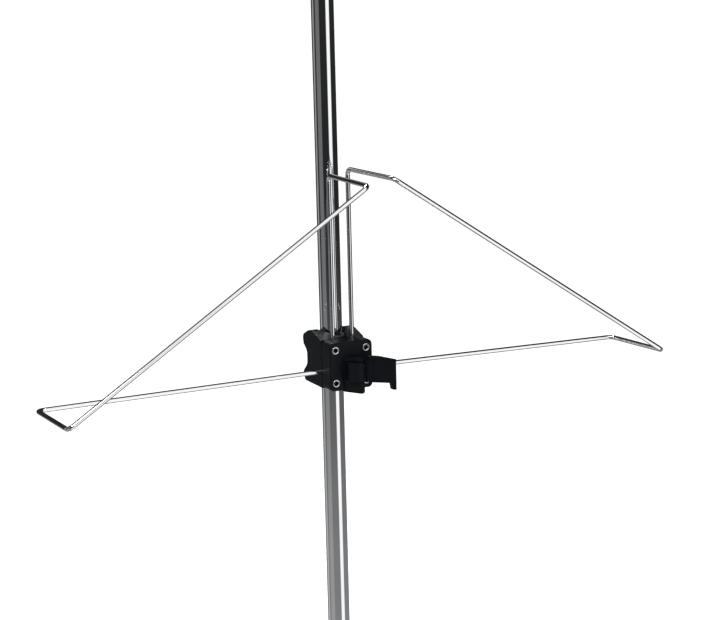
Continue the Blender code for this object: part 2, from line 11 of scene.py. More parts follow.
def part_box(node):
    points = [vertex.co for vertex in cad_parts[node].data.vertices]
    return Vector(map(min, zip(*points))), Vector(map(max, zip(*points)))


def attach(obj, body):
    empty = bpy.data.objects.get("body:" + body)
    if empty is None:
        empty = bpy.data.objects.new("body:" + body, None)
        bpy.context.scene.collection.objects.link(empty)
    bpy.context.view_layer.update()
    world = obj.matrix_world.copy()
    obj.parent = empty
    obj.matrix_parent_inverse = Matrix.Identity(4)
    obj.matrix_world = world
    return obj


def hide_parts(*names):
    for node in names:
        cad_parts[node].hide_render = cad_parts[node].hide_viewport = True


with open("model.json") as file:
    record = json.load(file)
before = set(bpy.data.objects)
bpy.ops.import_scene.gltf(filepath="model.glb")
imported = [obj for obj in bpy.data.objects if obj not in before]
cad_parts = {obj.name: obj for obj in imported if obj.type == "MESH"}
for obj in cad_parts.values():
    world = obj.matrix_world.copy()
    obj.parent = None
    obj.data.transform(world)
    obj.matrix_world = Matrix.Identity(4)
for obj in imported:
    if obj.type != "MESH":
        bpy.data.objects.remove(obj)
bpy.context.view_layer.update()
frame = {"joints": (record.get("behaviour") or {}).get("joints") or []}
JOINTS = {joint["name"]: joint for joint in frame["joints"]}

MM = 0.001
GAP = 0.3 * MM
ROUND = 96
SMALL_ROUND = 40

# What the frame says
CLAMP = Vector(JOINTS["clamp_swivel"]["pos_m"])
PIN = Vector(JOINTS["lever_open"]["pos_m"])
KNOB_AXIS_Z = JOINTS["knob_turn"]["pos_m"][2]
LEG_PIVOT = Vector(JOINTS["leg_fold_1"]["pos_m"])
LEG_TURNS = (0, 120, 240)


def low(node):
    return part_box(node)[0]


def high(node):
    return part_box(node)[1]


def width(node):
    return high(node).x - low(node).x


def middle(node):
    return (low(node) + high(node)) / 2


TUBE_R = width("upper_tube") / 2
TUBE_WALL = 1.2 * MM
LOWER_R = width("lower_tube") / 2
LOWER_WALL = 1.5 * MM
LOWER_BOTTOM = low("lower_tube").z
LOWER_TOP = high("lower_tube").z
SLEEVE_FLANGE_R = width("sleeve_liner") / 2
SLEEVE_R = 14.0 * MM
HALF_WIDTH = width("clamp_body") / 2
PARTING_Y = -29.3 * MM
COVER_Y = -51.2 * MM
BLOCK_LOW = low("clamp_body").z - CLAMP.z
EAR_LOW = low("front_cover").z - CLAMP.z
BLOCK_HIGH = high("front_cover").z - CLAMP.z
SCREW_HEAD_R = width("clamp_screw_1") / 2
SCREW_R = 2.5 * MM
NUT_R = (high("clamp_nut_1").z - low("clamp_nut_1").z) / 2
PIN_R = width("lever_pin") / 2
WIRE_R = 2.6 * MM


# Camera, floor and light

def make_camera():
    """A long lens from the front left, a little above the clamp."""
    azimuth = math.radians(-25.187)
    elevation = math.radians(11.034)
    roll = math.radians(-1.444)
    distance = 2.24413
    aim_right = 23.43 * MM
    aim_up = 52.98 * MM
    back = Vector((math.sin(azimuth) * math.cos(elevation), -math.cos(azimuth) * math.cos(elevation),
                   math.sin(elevation)))
    right = Vector((math.cos(azimuth), math.sin(azimuth), 0))
    up = back.cross(right)
    tilted_right = right * math.cos(roll) + up * math.sin(roll)
    tilted_up = up * math.cos(roll) - right * math.sin(roll)
    turn = Matrix((tilted_right, tilted_up, back)).transposed().to_4x4()
    aim = CLAMP + right * aim_right + Vector((0, 0, aim_up))
    lens = bpy.data.cameras.new("photo_camera")
    lens.sensor_width = 36
    lens.lens = 102.737
    lens.clip_start = 0.05
    lens.clip_end = 300
    camera = bpy.data.objects.new("photo_camera", lens)
    bpy.context.scene.collection.objects.link(camera)
    camera.matrix_world = Matrix.Translation(aim + back * distance) @ turn
    bpy.context.scene.camera = camera


def node(tree, kind, place, **settings):
    made = tree.nodes.new(kind)
    made.location = place
    for name, value in settings.items():
        setattr(made, name, value)
    return made


# What polished metal mirrors: strip lights round a dark room, over a lit floor; angles in degrees
CAMERA_SIDE = -115
# (degrees to the camera's right, half width in degrees, brightness)
STRIP_LIGHTS = ((-115, 10, 0.3), (-60, 20, 0.15), (50, 15, 1.0))
STRIP_EDGE = 5
DARK_ROOM = 0.02
FLOOR_GLOW = 0.2
FLOOR_STARTS = -8
FLOOR_FULL = -20
# (direction, cosine of the angle where it goes dark, cosine of the angle where it is full)
OVERHEAD_SOFTBOX = ((-0.05, -0.7, 0.7), 0.85, 0.89)
FRONT_FLOOR = ((0.15, -0.68, -0.72), 0.9, 0.94)
SKY_STRENGTH = 1.15


def strip_ring(tree, fraction):
    """Brightness round the horizon: the dark room with each strip light's soft-edged patch."""
    ring = node(tree, "ShaderNodeValToRGB", (-400, 0))
    stops = []
    for centre, half, level in STRIP_LIGHTS:
        for offset, value in ((-half - STRIP_EDGE, DARK_ROOM), (-half, level), (half, level),
                              (half + STRIP_EDGE, DARK_ROOM)):
            stops.append((((CAMERA_SIDE + centre + offset + 180) % 360) / 360, value))
    stops.sort()
    first, last = ring.color_ramp.elements
    last.position, level = stops[-1]
    last.color = (level, level, level, 1)
    first.position, level = stops[0]
    first.color = (level, level, level, 1)
    for position, level in stops[1:-1]:
        ring.color_ramp.elements.new(position).color = (level, level, level, 1)
    tree.links.new(fraction, ring.inputs["Fac"])
    return ring.outputs["Color"]


def floor_glow(tree, height):
    """Light from the floor, growing below the horizon."""
    glow = node(tree, "ShaderNodeMapRange", (-400, 250), interpolation_type="SMOOTHSTEP")
    glow.inputs["From Min"].default_value = math.sin(math.radians(FLOOR_STARTS))
    glow.inputs["From Max"].default_value = math.sin(math.radians(FLOOR_FULL))
    glow.inputs["To Max"].default_value = FLOOR_GLOW
    tree.links.new(height, glow.inputs["Value"])
    return glow.outputs["Result"]


def lit_cap(tree, direction, towards, dark_at, full_at):
    """A round softbox: full where the direction is near the given one, dark away from it."""
    nearness = node(tree, "ShaderNodeVectorMath", (-600, 500), operation="DOT_PRODUCT")
    tree.links.new(direction, nearness.inputs[0])
    nearness.inputs[1].default_value = Vector(towards).normalized()
    glow = node(tree, "ShaderNodeMapRange", (-400, 500), interpolation_type="SMOOTHSTEP")
    glow.inputs["From Min"].default_value = dark_at
    glow.inputs["From Max"].default_value = full_at
    tree.links.new(nearness.outputs["Value"], glow.inputs["Value"])
    return glow.outputs["Result"]


def blend(tree, mode, first, second):
    mixed = node(tree, "ShaderNodeMix", (0, 0), data_type="RGBA", blend_type=mode)
    mixed.inputs[0].default_value = 1.0
    tree.links.new(first, mixed.inputs[6])
    tree.links.new(second, mixed.inputs[7])
    return mixed.outputs[2]


def make_world():
    """White light all round. What polished metal mirrors is a plain studio: strip lights in a dark room,
    a softbox overhead and a lit floor in front."""
    world = bpy.data.worlds.new("studio")
    bpy.context.scene.world = world
    world.use_nodes = True
    tree = world.node_tree
    tree.nodes.clear()
    direction = node(tree, "ShaderNodeTexCoord", (-1200, 0)).outputs["Generated"]
    parts = node(tree, "ShaderNodeSeparateXYZ", (-1000, 0))
    tree.links.new(direction, parts.inputs[0])
    around = node(tree, "ShaderNodeMath", (-800, 100), operation="ARCTAN2")
    tree.links.new(parts.outputs["Y"], around.inputs[0])
    tree.links.new(parts.outputs["X"], around.inputs[1])
    fraction = node(tree, "ShaderNodeMapRange", (-600, 100))
    fraction.inputs["From Min"].default_value = -math.pi
    fraction.inputs["From Max"].default_value = math.pi
    tree.links.new(around.outputs[0], fraction.inputs["Value"])

    seen = strip_ring(tree, fraction.outputs["Result"])
    seen = blend(tree, "SCREEN", seen, floor_glow(tree, parts.outputs["Z"]))
    for towards, dark_at, full_at in (OVERHEAD_SOFTBOX, FRONT_FLOOR):
        seen = blend(tree, "SCREEN", seen, lit_cap(tree, direction, towards, dark_at, full_at))

    mirrored = node(tree, "ShaderNodeBackground", (300, -100))
    tree.links.new(seen, mirrored.inputs["Color"])
    mirrored.inputs["Strength"].default_value = SKY_STRENGTH
    even = node(tree, "ShaderNodeBackground", (300, 100))
    even.inputs["Color"].default_value = (1.0, 1.0, 1.0, 1)
    even.inputs["Strength"].default_value = SKY_STRENGTH
    path = node(tree, "ShaderNodeLightPath", (300, 400))
    mix = node(tree, "ShaderNodeMixShader", (500, 0))
    tree.links.new(path.outputs["Is Glossy Ray"], mix.inputs[0])
    tree.links.new(even.outputs[0], mix.inputs[1])
    tree.links.new(mirrored.outputs[0], mix.inputs[2])
    out = node(tree, "ShaderNodeOutputWorld", (700, 0))
    tree.links.new(mix.outputs[0], out.inputs["Surface"])


def make_light(name, place, aim, size, power):
    data = bpy.data.lights.new(name, "AREA")
    data.shape = "RECTANGLE"
    data.size = size[0]
    data.size_y = size[1]
    data.energy = power
    light = bpy.data.objects.new(name, data)
    bpy.context.scene.collection.objects.link(light)
    light.location = place
    light.rotation_euler = (Vector(place) - Vector(aim)).to_track_quat("Z", "Y").to_euler()


def make_studio():
    make_world()
    make_light("key_softbox", (-2.2, -1.6, 3.4), (0, 0, 0.9), (1.6, 1.2), 60)
    make_light("rim_softbox", (0.17, 1.92, 3.36), (0, 0, 1.0), (0.6, 0.6), 90)
    bpy.ops.mesh.primitive_plane_add(size=240, location=(0, 0, 0))
    floor = bpy.context.active_object
    floor.name = "studio_floor"
    floor.visible_glossy = False
    finish = bpy.data.materials.new("pale_floor")
    finish.use_nodes = True
    shader = finish.node_tree.nodes["Principled BSDF"]
    shader.inputs["Base Color"].default_value = (0.93, 0.93, 0.93, 1)
    shader.inputs["Roughness"].default_value = 0.9
    shader.inputs["Specular IOR Level"].default_value = 0.0
    floor.data.materials.append(finish)
    bpy.context.scene.view_settings.view_transform = "Standard"


# Materials

class Finish:
    """A Principled material with the few procedural parts that the finishes here share."""

    def __init__(self, name, colour, metallic, roughness):
        self.material = bpy.data.materials.new(name)
        self.material.use_nodes = True
        self.tree = self.material.node_tree
        self.shader = self.tree.nodes["Principled BSDF"]
        self.shader.inputs["Base Color"].default_value = (*colour, 1)
        self.shader.inputs["Metallic"].default_value = metallic
        self.shader.inputs["Roughness"].default_value = roughness
        self.coords = node(self.tree, "ShaderNodeTexCoord", (-1200, 0))
        self.last_bump = None

    def noise(self, scale, detail=3.0, stretch=(1, 1, 1), rough=0.5):
        mapping = node(self.tree, "ShaderNodeMapping", (-1000, 0))
        mapping.inputs["Scale"].default_value = stretch
        self.tree.links.new(self.coords.outputs["Object"], mapping.inputs["Vector"])
        made = node(self.tree, "ShaderNodeTexNoise", (-800, 0))
        made.inputs["Scale"].default_value = scale
        made.inputs["Detail"].default_value = detail
        made.inputs["Roughness"].default_value = rough
        self.tree.links.new(mapping.outputs[0], made.inputs["Vector"])
        return made.outputs["Fac"]

    def cells(self, scale):
        made = node(self.tree, "ShaderNodeTexVoronoi", (-800, -300))
        made.inputs["Scale"].default_value = scale
        self.tree.links.new(self.coords.outputs["Object"], made.inputs["Vector"])
        return made.outputs["Distance"]

    def rings(self, scale, direction):
        made = node(self.tree, "ShaderNodeTexWave", (-800, -600), wave_type="RINGS",
                    rings_direction=direction)
        made.inputs["Scale"].default_value = scale
        made.inputs["Distortion"].default_value = 0.4
        self.tree.links.new(self.coords.outputs["Object"], made.inputs["Vector"])
        return made.outputs["Fac"]

    def spread(self, source, lowest, highest, start=0.3, end=0.7):
        made = node(self.tree, "ShaderNodeMapRange", (-500, 0))
        made.inputs["From Min"].default_value = start
        made.inputs["From Max"].default_value = end
        made.inputs["To Min"].default_value = lowest
        made.inputs["To Max"].default_value = highest
        self.tree.links.new(source, made.inputs["Value"])
        return made.outputs["Result"]

    def roughness(self, source, lowest, highest):
        self.tree.links.new(self.spread(source, lowest, highest), self.shader.inputs["Roughness"])

    def colours(self, source, first, second):
        ramp = node(self.tree, "ShaderNodeValToRGB", (-500, 300))
        ramp.color_ramp.elements[0].position = 0.32
        ramp.color_ramp.elements[1].position = 0.68
        ramp.color_ramp.elements[0].color = (*first, 1)
        ramp.color_ramp.elements[1].color = (*second, 1)
        self.tree.links.new(source, ramp.inputs["Fac"])
        self.tree.links.new(ramp.outputs["Color"], self.shader.inputs["Base Color"])

    def paint_socket_shade(self, radius, depth):
        """Painted shade: darkens the metal's colour to near black within a radius of the object's Y axis and
        deeper along it than a depth, where the hex socket's recess lies in shade.
        """
        flat = node(self.tree, "ShaderNodeVectorMath", (-800, 600), operation="MULTIPLY")
        self.tree.links.new(self.coords.outputs["Object"], flat.inputs[0])
        flat.inputs[1].default_value = (1, 0, 1)
        reach = node(self.tree, "ShaderNodeVectorMath", (-650, 600), operation="LENGTH")
        self.tree.links.new(flat.outputs[0], reach.inputs[0])
        parts = node(self.tree, "ShaderNodeSeparateXYZ", (-800, 800))
        self.tree.links.new(self.coords.outputs["Object"], parts.inputs[0])
        within = self.spread(reach.outputs["Value"], 1.0, 0.0, radius, radius + 0.1 * MM)
        inside = self.spread(parts.outputs["Y"], 0.0, 1.0, depth, depth + 0.3 * MM)
        both = node(self.tree, "ShaderNodeMath", (-300, 700), operation="MULTIPLY")
        self.tree.links.new(within, both.inputs[0])
        self.tree.links.new(inside, both.inputs[1])
        bright = self.shader.inputs["Base Color"].links[0].from_socket
        shade = node(self.tree, "ShaderNodeMix", (-150, 500), data_type="RGBA")
        # painted shade: the near-black colour laid inside the hex socket
        shade.inputs[7].default_value = (0.006, 0.006, 0.007, 1)
        self.tree.links.new(both.outputs[0], shade.inputs[0])
        self.tree.links.new(bright, shade.inputs[6])
        self.tree.links.new(shade.outputs[2], self.shader.inputs["Base Color"])

    def bump(self, source, strength, depth):
        made = node(self.tree, "ShaderNodeBump", (-250, -300))
        made.inputs["Strength"].default_value = strength
        made.inputs["Distance"].default_value = depth
        self.tree.links.new(source, made.inputs["Height"])
        if self.last_bump:
            self.tree.links.new(self.last_bump.outputs[0], made.inputs["Normal"])
        self.tree.links.new(made.outputs[0], self.shader.inputs["Normal"])
        self.last_bump = made


def chrome(name, stretch):
    """Plated tube or wire: a mirror, with faint drawing lines along it and slightly cloudy patches."""
    finish = Finish(name, (0.80, 0.81, 0.83), 1.0, 0.05)
    finish.colours(finish.noise(14, detail=4), (0.77, 0.78, 0.80), (0.84, 0.85, 0.87))
    finish.roughness(finish.noise(55, detail=5, stretch=stretch), 0.004, 0.022)
    finish.bump(finish.noise(900, detail=2, stretch=stretch), 0.03, 0.02 * MM)
    return finish.material


def moulded(name, colour, second, gloss):
    """Black moulded plastic: a fine spark-eroded grain, faint flow clouds and a satin sheen."""
    finish = Finish(name, colour, 0.0, sum(gloss) / 2)
    finish.shader.inputs["Specular IOR Level"].default_value = 0.08
    finish.colours(finish.noise(70, detail=5), colour, second)
    finish.roughness(finish.noise(180, detail=6), *gloss)
    finish.bump(finish.noise(45, detail=2), 0.25, 0.12 * MM)
    finish.bump(finish.noise(2600, detail=3, rough=0.6), 0.25, 0.03 * MM)
    return finish.material


def plated_steel(name, direction, socket=None):
    """Bright zinc on turned steel: fine rings about the part's axis, small stains, and painted shade
    darkening the hex socket.
    """
    finish = Finish(name, (0.62, 0.63, 0.66), 1.0, 0.25)
    finish.colours(finish.noise(320, detail=5), (0.54, 0.55, 0.57), (0.70, 0.71, 0.73))
    finish.roughness(finish.noise(500, detail=4), 0.16, 0.32)
    finish.bump(finish.rings(1500, direction), 0.12, 0.02 * MM)
    if socket:
        # painted shade in the hex socket
        finish.paint_socket_shade(*socket)
    return finish.material


def powder_coat():
    finish = Finish("black_powder_coat", (0.022, 0.022, 0.024), 0.0, 0.42)
    finish.shader.inputs["Coat Weight"].default_value = 0.15
    finish.shader.inputs["Coat Roughness"].default_value = 0.3
    finish.colours(finish.noise(90, detail=4), (0.018, 0.018, 0.020), (0.030, 0.030, 0.032))
    finish.roughness(finish.noise(240, detail=5), 0.36, 0.5)
    finish.bump(finish.cells(700), 0.3, 0.06 * MM)
    return finish.material


def soft_rubber():
    finish = Finish("black_rubber", (0.016, 0.016, 0.016), 0.0, 0.75)
    finish.shader.inputs["Sheen Weight"].default_value = 0.12
    finish.colours(finish.noise(120, detail=6), (0.012, 0.012, 0.012), (0.034, 0.033, 0.031))
    finish.roughness(finish.noise(300, detail=5), 0.62, 0.85)
    finish.bump(finish.noise(1500, detail=4, rough=0.65), 0.4, 0.06 * MM)
    return finish.material


def make_finishes():
    black = (0.0026, 0.0033, 0.0048)
    return {
        "tube": chrome("chromed_tube", (1, 1, 0.03)),
        "wire": chrome("chromed_wire", (0.5, 0.5, 0.5)),
        "black": moulded("black_moulding", black, (0.0036, 0.0044, 0.0062), (0.34, 0.46)),
        "nylon": moulded("grey_nylon", (0.036, 0.036, 0.039), (0.052, 0.052, 0.056), (0.42, 0.55)),
        "cast": powder_coat(),
        # the screws get painted shade inside their hex sockets
        "screw": plated_steel("zinc_screw", "Y", socket=(2.6 * MM, low("clamp_screw_1").y + 0.3 * MM)),
        "steel": plated_steel("zinc_steel", "Z"),
        "rubber": soft_rubber(),
    }


# Shape helpers

def add(name, mesh):
    made = bpy.data.objects.new(name, mesh)
    bpy.context.scene.collection.objects.link(made)
    return made


def smooth(mesh, degrees=30):
    mesh.shade_smooth()
    mesh.set_sharp_from_angle(angle=math.radians(degrees))


def freeze(made):
    """The evaluated shape as a plain mesh; the object and its cutters are removed."""
    bpy.context.view_layer.update()
    graph = bpy.context.evaluated_depsgraph_get()
    mesh = bpy.data.meshes.new_from_object(made.evaluated_get(graph))
    mesh.transform(made.matrix_world)
    tools = [change.object for change in made.modifiers if change.type == "BOOLEAN"]
    for item in [made, *tools]:
        bpy.data.objects.remove(item, do_unlink=True)
    return mesh


def even(made):
    """The piece with its shading weighted by its large faces, so that eased rims don't bend it."""
    change = made.modifiers.new("even_shading", "WEIGHTED_NORMAL")
    change.keep_sharp = True
    mesh = freeze(made)
    return add(mesh.name, mesh)


def boolean(target, other, operation):
    change = target.modifiers.new(operation.lower(), "BOOLEAN")
    change.operation = operation
    change.solver = "EXACT"
    change.object = other


def cut(target, *others):
    for other in others:
        boolean(target, other, "DIFFERENCE")


def unite(target, *others):
    for other in others:
        boolean(target, other, "UNION")


def arc_between(before, corner, after, radius, steps):
    """Points of a fillet at a corner."""
    back = (before - corner).normalized()
    ahead = (after - corner).normalized()
    half = back.angle(ahead) / 2
    reach = radius / math.tan(half)
    centre = corner + (back + ahead).normalized() * radius / math.sin(half)
    start = corner + back * reach - centre
    end = corner + ahead * reach - centre
    sweep = start.angle(end)
    points = []
    for step in range(steps + 1):
        share = step / steps
        weight = math.sin((1 - share) * sweep), math.sin(share * sweep)
        points.append(centre + (start * weight[0] + end * weight[1]) / math.sin(sweep))
    return points


def rounded_outline(corners, steps=10):
    """A closed outline from (u, v, fillet radius) corners in millimetres."""
    flat = [Vector((u, v, 0)) * MM for u, v, _ in corners]
    points = []
    for index, (_, _, radius) in enumerate(corners):
        after = flat[(index + 1) % len(flat)]
        if radius:
            points += arc_between(flat[index - 1], flat[index], after, radius * MM, steps)
        else:
            points.append(flat[index])
    return points


def rounded_path(corners, radius, steps=14):
    points = [corners[0]]
    for before, corner, after in zip(corners, corners[1:], corners[2:]):
        points += arc_between(before, corner, after, radius, steps)
    return points + [corners[-1]]


PLAN = Matrix.Identity(4)                                   # outline (x, y), thick along Z
FRONT = Matrix.Rotation(math.pi / 2, 4, "X")                # outline (x, z), thick along Y
SIDE = Matrix(((0, 0, 1, 0), (1, 0, 0, 0), (0, 1, 0, 0), (0, 0, 0, 1)))  # (y, z), thick along X


def plate(name, outline, start, end, facing, bevel=0.0, segments=4, at=(0, 0, 0)):
    """A flat outline extruded from start to end along the third axis, with rounded rims."""
    shape = bmesh.new()
    third = -1 if facing == FRONT else 1
    face = shape.faces.new([shape.verts.new((p.x, p.y, third * start)) for p in outline])
    grown = bmesh.ops.extrude_face_region(shape, geom=[face])
    moved = [v for v in grown["geom"] if isinstance(v, bmesh.types.BMVert)]
    bmesh.ops.translate(shape, verts=moved, vec=(0, 0, third * (end - start)))
    bmesh.ops.recalc_face_normals(shape, faces=shape.faces)
    if bevel:
        rims = [e for e in shape.edges if len(e.link_faces) == 2 and e.calc_face_angle() > math.radians(50)]
        bmesh.ops.bevel(shape, geom=rims, offset=bevel, segments=segments, profile=0.5, affect="EDGES",
                        clamp_overlap=True)
    bmesh.ops.transform(shape, matrix=Matrix.Translation(at) @ facing, verts=shape.verts)
    mesh = bpy.data.meshes.new(name)
    shape.to_mesh(mesh)
    shape.free()
    smooth(mesh)
    return add(name, mesh)


AXES = {"X": Vector((1, 0, 0)), "Y": Vector((0, 1, 0)), "Z": Vector((0, 0, 1))}


def turned(name, profile, axis="Z", at=(0, 0, 0), steps=ROUND, closed=False):
    """A profile of (radius, height), from top to bottom down its outer side, turned about an axis."""
    mesh = bpy.data.meshes.new(name)
    ends = [(i, i + 1) for i in range(len(profile) - 1)]
    if closed:
        ends.append((len(profile) - 1, 0))
    mesh.from_pydata([(radius, 0, height) for radius, height in profile], ends, [])
    made = add(name, mesh)
    spin = made.modifiers.new("turn", "SCREW")
    spin.steps = steps
    spin.render_steps = steps
    spin.use_merge_vertices = True
    spin.merge_threshold = 0.000002
    shape = freeze(made)
    turn = AXES["Z"].rotation_difference(AXES[axis]).to_matrix().to_4x4()
    shape.transform(Matrix.Translation(at) @ turn)
    smooth(shape)
    return even(add(name, shape))


def eased(corners, radius=0.4 * MM, steps=4):
    """A turned profile with each of its sharp corners eased; the ends on the axis stay."""
    flat = [Vector((r, z, 0)) for r, z in corners]
    points = [flat[0]]
    for before, corner, after in zip(flat, flat[1:], flat[2:]):
        room = min((before - corner).length, (after - corner).length) * 0.45
        bend = (before - corner).angle(after - corner)
        if math.pi - bend < math.radians(12):
            points.append(corner)
            continue
        points += arc_between(before, corner, after, min(radius, room * math.tan(bend / 2)), steps)
    points.append(flat[-1])
    return [(point.x, point.y) for point in points]


def ring(name, outer, inner, start, end):
    """A tube with eased rims."""
    corners = [(inner, end), (outer, end), (outer, start), (inner, start)]
    side = (outer, (start + end) / 2)
    radius = min(0.3 * MM, (outer - inner) / 3)
    loop = eased([side, corners[2], corners[3], corners[0], corners[1], side], radius)
    return turned(name, loop[:-1], closed=True)


def rod(name, radius, start, end, sides=SMALL_ROUND, ease=0.0):
    """A straight cylinder or prism between two points."""
    start = Vector(start)
    end = Vector(end)
    shape = bmesh.new()
    turn = (end - start).to_track_quat("Z", "Y").to_matrix().to_4x4()
    bmesh.ops.create_cone(shape, cap_ends=True, segments=sides, radius1=radius, radius2=radius,
                          depth=(end - start).length, matrix=Matrix.Translation((start + end) / 2) @ turn)
    if ease:
        rims = [e for e in shape.edges if e.calc_face_angle() > math.radians(50)]
        bmesh.ops.bevel(shape, geom=rims, offset=ease, segments=3, profile=0.5, affect="EDGES")
    mesh = bpy.data.meshes.new(name)
    shape.to_mesh(mesh)
    shape.free()
    smooth(mesh)
    return even(add(name, mesh))


def block(name, corner_low, corner_high, ease=0.0):
    corner_low = Vector(corner_low)
    corner_high = Vector(corner_high)
    shape = bmesh.new()
    size = Matrix.Diagonal((*(corner_high - corner_low), 1))
    bmesh.ops.create_cube(shape, size=1, matrix=Matrix.Translation((corner_low + corner_high) / 2) @ size)
    if ease:
        bmesh.ops.bevel(shape, geom=shape.edges[:], offset=ease, segments=3, profile=0.5, affect="EDGES")
    mesh = bpy.data.meshes.new(name)
    shape.to_mesh(mesh)
    shape.free()
    return add(name, mesh)


def wire(name, points, radius):
    """A round wire along a path, as a mesh with its caps welded on."""
    curve = bpy.data.curves.new(name, "CURVE")
    curve.dimensions = "3D"
    curve.bevel_depth = radius
    curve.bevel_resolution = 10
    curve.use_fill_caps = True
    line = curve.splines.new("POLY")
    line.points.add(len(points) - 1)
    for point, place in zip(line.points, points):
        point.co = (*place, 1)
    mesh = freeze(add(name, curve))
    shape = bmesh.new()
    shape.from_mesh(mesh)
    bmesh.ops.remove_doubles(shape, verts=shape.verts, dist=1e-6)
    bmesh.ops.recalc_face_normals(shape, faces=shape.faces)
    shape.to_mesh(mesh)
    shape.free()
    smooth(mesh, 50)
    return even(add(name, mesh))


def moulding(piece):
    """A cut piece as one mesh, with stray points merged and its shading evened."""
    mesh = freeze(piece)
    shape = bmesh.new()
    shape.from_mesh(mesh)
    bmesh.ops.remove_doubles(shape, verts=shape.verts, dist=2e-6)
    shape.to_mesh(mesh)
    shape.free()
    smooth(mesh)
    return even(add(mesh.name, mesh))


def at_clamp(x, y, z):
    """A point given in millimetres from the clamp's centre."""
    return CLAMP + Vector((x, y, z)) * MM


def show(piece, node_name, body, finish):
    """Puts a finished piece in the place of its CAD node."""
    piece.name = "fine_" + node_name
    piece.data.name = piece.name
    piece.data.materials.clear()
    piece.data.materials.append(finish)
    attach(piece, body)
    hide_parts(node_name)


# Column

def make_column(finishes):
    bore = TUBE_R - TUBE_WALL - GAP
    upper = ring("upper_tube", TUBE_R, TUBE_R - TUBE_WALL, low("upper_tube").z, high("upper_tube").z)
    show(upper, "upper_tube", "column", finishes["tube"])
    lower = ring("lower_tube", LOWER_R, LOWER_R - LOWER_WALL, LOWER_BOTTOM, LOWER_TOP)
    show(lower, "lower_tube", "base", finishes["tube"])
    top = high("top_cap").z
    rim = high("upper_tube").z + GAP
    cap_r = width("top_cap") / 2
    cap = [(0, top), (9 * MM, top), (12 * MM, top - 1.5 * MM), (cap_r, top - 5 * MM),
           (cap_r, rim + 2.2 * MM), (cap_r - 0.5 * MM, rim + 1.8 * MM), (cap_r - 0.5 * MM, rim + 1.3 * MM),
           (cap_r, rim + 0.9 * MM), (cap_r, rim), (bore, rim), (bore, rim - 14 * MM),
           (bore - 1 * MM, rim - 15 * MM), (0, rim - 15 * MM)]
    show(turned("top_cap", eased(cap, 1.2 * MM)), "top_cap", "column", finishes["black"])
    seat = low("upper_tube").z - GAP
    guide = width("tube_foot_bush") / 2
    foot = [(0, seat + 15 * MM), (bore - 1 * MM, seat + 15 * MM), (bore, seat + 14 * MM), (bore, seat),
            (guide, seat), (guide, seat - 8 * MM), (guide - 1 * MM, seat - 9 * MM), (0, seat - 9 * MM)]
    show(turned("tube_foot_bush", eased(foot)), "tube_foot_bush", "column", finishes["nylon"])


def make_clutch(finishes):
    bottom = low("clutch_collar").z
    top = high("clutch_collar").z
    outer = high("clutch_collar").y
    bush_bore = TUBE_R + GAP
    bush_outer = width("clutch_bush") / 2
    seat = bush_outer + GAP
    step = LOWER_TOP + 2 * GAP
    lip = top - 4 * MM
    knob_start = low("clutch_knob").x
    collar = [(bush_bore, top), (19 * MM, top), (outer, top - 4 * MM), (outer, bottom + 23 * MM),
              (outer - 0.8 * MM, bottom + 22 * MM), (outer - 0.8 * MM, bottom + 20.5 * MM),
              (outer, bottom + 19.5 * MM), (outer, bottom + 6 * MM), (18 * MM, bottom),
              (LOWER_R + GAP, bottom), (LOWER_R + GAP, step), (seat, step), (seat, lip), (bush_bore, lip)]
    profile = eased([*collar, collar[0]], 0.8 * MM)[:-1]
    shell = turned("clutch_collar", profile, closed=True)
    boss_end = knob_start - 1 * MM
    unite(shell, rod("boss", 9 * MM, (16 * MM, 0, KNOB_AXIS_Z), (boss_end, 0, KNOB_AXIS_Z), sides=64,
                     ease=0.8 * MM))
    for number in range(30):
        turn = math.radians(12 * number + 6)
        groove = Vector((math.cos(turn), math.sin(turn), 0)) * (outer + 0.5 * MM)
        cut(shell, rod("grip_flute", 1.1 * MM, groove + Vector((0, 0, bottom + 7 * MM)),
                       groove + Vector((0, 0, bottom + 18 * MM)), sides=12))
    cut(shell, rod("stud_hole", 4.3 * MM, (5 * MM, 0, KNOB_AXIS_Z), (60 * MM, 0, KNOB_AXIS_Z)))
    show(moulding(shell), "clutch_collar", "base", finishes["black"])
    bush = ring("clutch_bush", bush_outer, bush_bore, step + GAP, lip - GAP)
    show(bush, "clutch_bush", "base", finishes["nylon"])
    stud_r = high("clutch_stud").z - KNOB_AXIS_Z
    stud_end = high("clutch_stud").x
    stud = rod("clutch_stud", stud_r, (low("clutch_stud").x, 0, KNOB_AXIS_Z), (stud_end, 0, KNOB_AXIS_Z),
               ease=0.5 * MM)
    show(stud, "clutch_stud", "knob", finishes["steel"])
    length = high("clutch_knob").x - knob_start
    knob_r = high("clutch_knob").z - KNOB_AXIS_Z
    grip = [(0, length - 1 * MM), (8 * MM, length - 1 * MM), (8.8 * MM, length), (knob_r - 3 * MM, length),
            (knob_r, length - 3 * MM), (knob_r, 6 * MM), (knob_r - 2 * MM, 4.5 * MM), (8.5 * MM, 3 * MM),
            (8.5 * MM, 0), (0, 0)]
    head = turned("clutch_knob", eased(grip, 0.9 * MM), axis="X", at=(knob_start, 0, KNOB_AXIS_Z))
    for lobe in range(6):
        turn = math.radians(60 * lobe)
        hollow = Vector((0, math.cos(turn), math.sin(turn))) * (17 * MM + 4.5 * MM)
        start = hollow + Vector((knob_start + 4 * MM, 0, KNOB_AXIS_Z))
        end = hollow + Vector((knob_start + length + 1 * MM, 0, KNOB_AXIS_Z))
        cut(head, rod("knob_hollow", 7 * MM, start, end, sides=56))
    cut(head, rod("stud_socket", 4.3 * MM, (knob_start - 1 * MM, 0, KNOB_AXIS_Z),
                  (stud_end + GAP, 0, KNOB_AXIS_Z)))
    show(moulding(head), "clutch_knob", "knob", finishes["black"])


# Base

